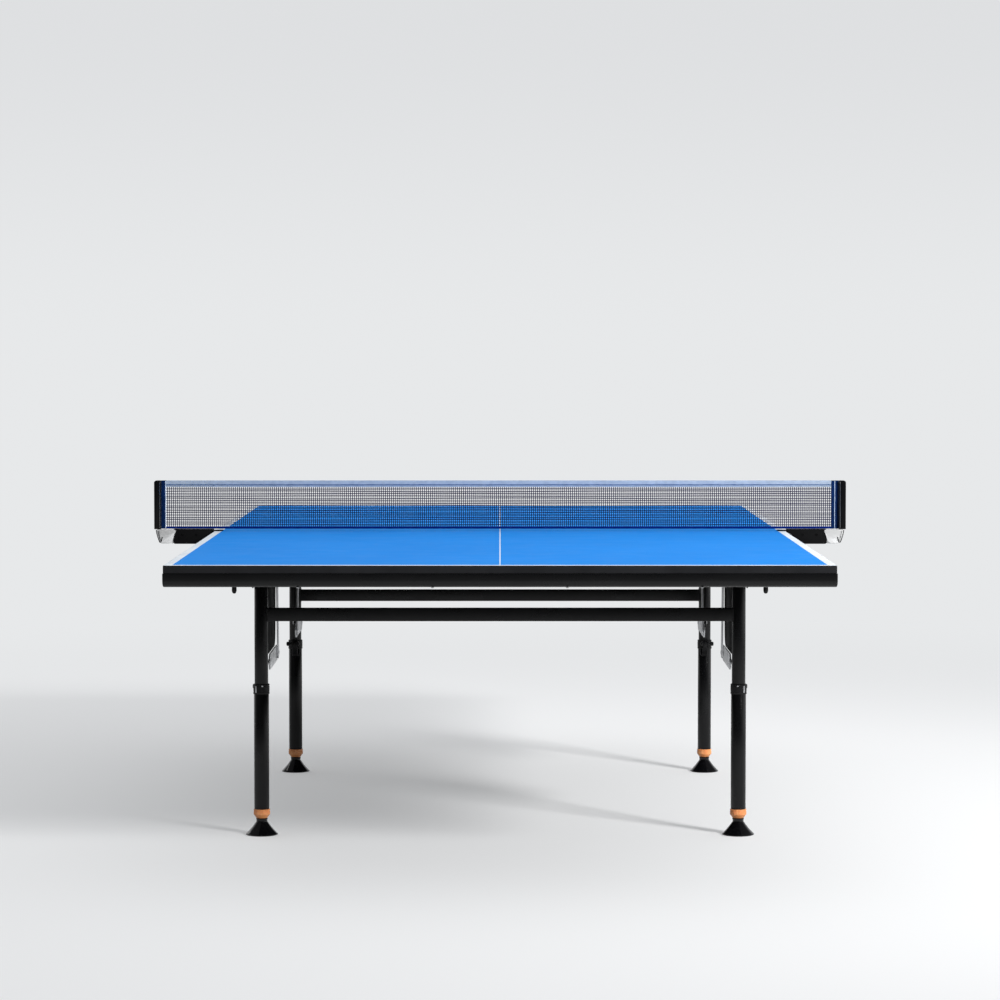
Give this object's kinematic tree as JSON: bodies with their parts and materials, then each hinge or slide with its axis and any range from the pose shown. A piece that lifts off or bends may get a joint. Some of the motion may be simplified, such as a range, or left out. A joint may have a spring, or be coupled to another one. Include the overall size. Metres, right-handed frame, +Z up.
{
  "type": "ping pong table",
  "caption": "Full-size indoor table tennis table with folding telescopic legs, levelling feet and a clamped net",
  "frame": {"origin": "on the floor under the middle of the net", "axes": "+Z up, +Y along the table, +X across it; the near half lies towards -Y"},
  "size_m": [1.8466, 2.743, 0.86],
  "materials": {
    "table_top": "satin blue coating with white lines",
    "black_steel": "satin black powder coat",
    "black_plastic": "moulded",
    "foot_plastic": "glossy moulded",
    "orange_plastic": "moulded",
    "zinc_steel": "zinc plated",
    "chrome": "polished",
    "net_mesh": "knotted mesh with webbing bands"
  },
  "bodies": {
    "frame": {"near_board": "table_top", "near_apron": "black_steel", "near_under_rail": "black_steel", "far_board": "table_top", "far_apron": "black_steel", "far_under_rail": "black_steel", "near_left_hinge_bracket": "black_steel", "near_right_hinge_bracket": "black_steel", "far_left_hinge_bracket": "black_steel", "far_right_hinge_bracket": "black_steel", "left_net_arm": "black_steel", "left_net_post_clip": "chrome", "left_net_post": "black_plastic", "right_net_arm": "black_steel", "right_net_post_clip": "chrome", "right_net_post": "black_plastic", "net": "net_mesh", "joining_bar": "black_steel"},
    "near_legs": {"near_crossbar": "black_steel", "near_left_leg_tube": "black_steel", "near_right_leg_tube": "black_steel"},
    "near_left_stay_bar": {"near_left_stay_bar": "zinc_steel"},
    "near_left_stay_link": {"near_left_stay_link": "zinc_steel"},
    "near_left_sleeve": {"near_left_foot_sleeve": "black_steel", "near_left_clamp_collar": "black_plastic"},
    "near_left_lever": {"near_left_clamp_lever": "black_plastic"},
    "near_left_ring": {"near_left_levelling_ring": "orange_plastic"},
    "near_left_foot": {"near_left_levelling_foot": "foot_plastic"},
    "near_left_lock": {"near_left_lock_pin": "black_plastic"},
    "near_right_stay_bar": {"near_right_stay_bar": "zinc_steel"},
    "near_right_stay_link": {"near_right_stay_link": "zinc_steel"},
    "near_right_sleeve": {"near_right_foot_sleeve": "black_steel", "near_right_clamp_collar": "black_plastic"},
    "near_right_lever": {"near_right_clamp_lever": "black_plastic"},
    "near_right_ring": {"near_right_levelling_ring": "orange_plastic"},
    "near_right_foot": {"near_right_levelling_foot": "foot_plastic"},
    "near_right_lock": {"near_right_lock_pin": "black_plastic"},
    "far_legs": {"far_crossbar": "black_steel", "far_left_leg_tube": "black_steel", "far_right_leg_tube": "black_steel"},
    "far_left_stay_bar": {"far_left_stay_bar": "zinc_steel"},
    "far_left_stay_link": {"far_left_stay_link": "zinc_steel"},
    "far_left_sleeve": {"far_left_foot_sleeve": "black_steel", "far_left_clamp_collar": "black_plastic"},
    "far_left_lever": {"far_left_clamp_lever": "black_plastic"},
    "far_left_ring": {"far_left_levelling_ring": "orange_plastic"},
    "far_left_foot": {"far_left_levelling_foot": "foot_plastic"},
    "far_left_lock": {"far_left_lock_pin": "black_plastic"},
    "far_right_stay_bar": {"far_right_stay_bar": "zinc_steel"},
    "far_right_stay_link": {"far_right_stay_link": "zinc_steel"},
    "far_right_sleeve": {"far_right_foot_sleeve": "black_steel", "far_right_clamp_collar": "black_plastic"},
    "far_right_lever": {"far_right_clamp_lever": "black_plastic"},
    "far_right_ring": {"far_right_levelling_ring": "orange_plastic"},
    "far_right_foot": {"far_right_levelling_foot": "foot_plastic"},
    "far_right_lock": {"far_right_lock_pin": "black_plastic"},
    "left_clamp_pad": {"left_net_clamp_pad": "black_plastic"},
    "left_clamp_knob": {"left_net_clamp_knob": "black_plastic"},
    "right_clamp_pad": {"right_net_clamp_pad": "black_plastic"},
    "right_clamp_knob": {"right_net_clamp_knob": "black_plastic"}
  },
  "joints": [
    {"name": "near_legs_fold", "type": "hinge", "parent": "frame", "child": "near_legs", "pos_m": [0, -0.61, 0.655], "axis": [-1, 0, 0], "range_deg": [0, 90]},
    {"name": "near_left_stay_link_swing", "type": "hinge", "parent": "frame", "child": "near_left_stay_link", "pos_m": [-0.595, -0.365, 0.655], "axis": [-1, 0, 0], "range_deg": [0, 90]},
    {"name": "near_left_stay_bar_swing", "type": "hinge", "parent": "near_legs", "child": "near_left_stay_bar", "pos_m": [-0.595, -0.576, 0.43], "axis": [-1, 0, 0], "range_deg": [-90, 0]},
    {"name": "near_left_leg_extend", "type": "slide", "parent": "near_legs", "child": "near_left_sleeve", "axis": [0, 0, -1], "range_m": [0, 0.035]},
    {"name": "near_left_lever_open", "type": "hinge", "parent": "near_left_sleeve", "child": "near_left_lever", "pos_m": [-0.595, -0.581, 0.369], "axis": [1, 0, 0], "range_deg": [0, 100]},
    {"name": "near_left_ring_turn", "type": "hinge", "parent": "near_left_sleeve", "child": "near_left_ring", "pos_m": [-0.595, -0.61, 0.05], "axis": [0, 0, 1], "range_deg": [0, 1800]},
    {"name": "near_left_foot_level", "type": "slide", "parent": "near_left_sleeve", "child": "near_left_foot", "axis": [0, 0, -1], "range_m": [0, 0.01]},
    {"name": "near_left_lock_pull", "type": "slide", "parent": "frame", "child": "near_left_lock", "axis": [-1, 0, 0], "range_m": [0, 0.014], "stiffness_N_per_m": 300},
    {"name": "near_right_stay_link_swing", "type": "hinge", "parent": "frame", "child": "near_right_stay_link", "pos_m": [0.595, -0.365, 0.655], "axis": [-1, 0, 0], "range_deg": [0, 90]},
    {"name": "near_right_stay_bar_swing", "type": "hinge", "parent": "near_legs", "child": "near_right_stay_bar", "pos_m": [0.595, -0.576, 0.43], "axis": [-1, 0, 0], "range_deg": [-90, 0]},
    {"name": "near_right_leg_extend", "type": "slide", "parent": "near_legs", "child": "near_right_sleeve", "axis": [0, 0, -1], "range_m": [0, 0.035]},
    {"name": "near_right_lever_open", "type": "hinge", "parent": "near_right_sleeve", "child": "near_right_lever", "pos_m": [0.595, -0.581, 0.369], "axis": [1, 0, 0], "range_deg": [0, 100]},
    {"name": "near_right_ring_turn", "type": "hinge", "parent": "near_right_sleeve", "child": "near_right_ring", "pos_m": [0.595, -0.61, 0.05], "axis": [0, 0, 1], "range_deg": [0, 1800]},
    {"name": "near_right_foot_level", "type": "slide", "parent": "near_right_sleeve", "child": "near_right_foot", "axis": [0, 0, -1], "range_m": [0, 0.01]},
    {"name": "near_right_lock_pull", "type": "slide", "parent": "frame", "child": "near_right_lock", "axis": [1, 0, 0], "range_m": [0, 0.014], "stiffness_N_per_m": 300},
    {"name": "far_legs_fold", "type": "hinge", "parent": "frame", "child": "far_legs", "pos_m": [0, 0.61, 0.655], "axis": [1, 0, 0], "range_deg": [0, 90]},
    {"name": "far_left_stay_link_swing", "type": "hinge", "parent": "frame", "child": "far_left_stay_link", "pos_m": [-0.5855, 0.365, 0.655], "axis": [1, 0, 0], "range_deg": [0, 90]},
    {"name": "far_left_stay_bar_swing", "type": "hinge", "parent": "far_legs", "child": "far_left_stay_bar", "pos_m": [-0.5855, 0.576, 0.43], "axis": [1, 0, 0], "range_deg": [-90, 0]},
    {"name": "far_left_leg_extend", "type": "slide", "parent": "far_legs", "child": "far_left_sleeve", "axis": [0, 0, -1], "range_m": [0, 0.035]},
    {"name": "far_left_lever_open", "type": "hinge", "parent": "far_left_sleeve", "child": "far_left_lever", "pos_m": [-0.5855, 0.581, 0.369], "axis": [-1, 0, 0], "range_deg": [0, 100]},
    {"name": "far_left_ring_turn", "type": "hinge", "parent": "far_left_sleeve", "child": "far_left_ring", "pos_m": [-0.5855, 0.61, 0.05], "axis": [0, 0, 1], "range_deg": [0, 1800]},
    {"name": "far_left_foot_level", "type": "slide", "parent": "far_left_sleeve", "child": "far_left_foot", "axis": [0, 0, -1], "range_m": [0, 0.01]},
    {"name": "far_left_lock_pull", "type": "slide", "parent": "frame", "child": "far_left_lock", "axis": [-1, 0, 0], "range_m": [0, 0.014], "stiffness_N_per_m": 300},
    {"name": "far_right_stay_link_swing", "type": "hinge", "parent": "frame", "child": "far_right_stay_link", "pos_m": [0.5855, 0.365, 0.655], "axis": [1, 0, 0], "range_deg": [0, 90]},
    {"name": "far_right_stay_bar_swing", "type": "hinge", "parent": "far_legs", "child": "far_right_stay_bar", "pos_m": [0.5855, 0.576, 0.43], "axis": [1, 0, 0], "range_deg": [-90, 0]},
    {"name": "far_right_leg_extend", "type": "slide", "parent": "far_legs", "child": "far_right_sleeve", "axis": [0, 0, -1], "range_m": [0, 0.035]},
    {"name": "far_right_lever_open", "type": "hinge", "parent": "far_right_sleeve", "child": "far_right_lever", "pos_m": [0.5855, 0.581, 0.369], "axis": [-1, 0, 0], "range_deg": [0, 100]},
    {"name": "far_right_ring_turn", "type": "hinge", "parent": "far_right_sleeve", "child": "far_right_ring", "pos_m": [0.5855, 0.61, 0.05], "axis": [0, 0, 1], "range_deg": [0, 1800]},
    {"name": "far_right_foot_level", "type": "slide", "parent": "far_right_sleeve", "child": "far_right_foot", "axis": [0, 0, -1], "range_m": [0, 0.01]},
    {"name": "far_right_lock_pull", "type": "slide", "parent": "frame", "child": "far_right_lock", "axis": [1, 0, 0], "range_m": [0, 0.014], "stiffness_N_per_m": 300},
    {"name": "left_clamp_pad_slide", "type": "slide", "parent": "frame", "child": "left_clamp_pad", "axis": [0, 0, -1], "range_m": [0, 0.008]},
    {"name": "left_clamp_knob_turn", "type": "hinge", "parent": "left_clamp_pad", "child": "left_clamp_knob", "pos_m": [-0.752, 0, 0.64], "axis": [0, 0, 1], "range_deg": [0, 1440]},
    {"name": "right_clamp_pad_slide", "type": "slide", "parent": "frame", "child": "right_clamp_pad", "axis": [0, 0, -1], "range_m": [0, 0.008]},
    {"name": "right_clamp_knob_turn", "type": "hinge", "parent": "right_clamp_pad", "child": "right_clamp_knob", "pos_m": [0.752, 0, 0.64], "axis": [0, 0, 1], "range_deg": [0, 1440]}
  ],
  "couplings": [
    {"joint": "near_left_stay_link_swing", "follows": "near_legs_fold", "ratio": 1},
    {"joint": "near_left_stay_bar_swing", "follows": "near_legs_fold", "ratio": -1},
    {"joint": "near_left_foot_level", "follows": "near_left_ring_turn", "m_per_rad": 0.000318},
    {"joint": "near_right_stay_link_swing", "follows": "near_legs_fold", "ratio": 1},
    {"joint": "near_right_stay_bar_swing", "follows": "near_legs_fold", "ratio": -1},
    {"joint": "near_right_foot_level", "follows": "near_right_ring_turn", "m_per_rad": 0.000318},
    {"joint": "far_left_stay_link_swing", "follows": "far_legs_fold", "ratio": 1},
    {"joint": "far_left_stay_bar_swing", "follows": "far_legs_fold", "ratio": -1},
    {"joint": "far_left_foot_level", "follows": "far_left_ring_turn", "m_per_rad": 0.000318},
    {"joint": "far_right_stay_link_swing", "follows": "far_legs_fold", "ratio": 1},
    {"joint": "far_right_stay_bar_swing", "follows": "far_legs_fold", "ratio": -1},
    {"joint": "far_right_foot_level", "follows": "far_right_ring_turn", "m_per_rad": 0.000318},
    {"joint": "left_clamp_pad_slide", "follows": "left_clamp_knob_turn", "m_per_rad": 0.000318},
    {"joint": "right_clamp_pad_slide", "follows": "right_clamp_knob_turn", "m_per_rad": 0.000318}
  ]
}
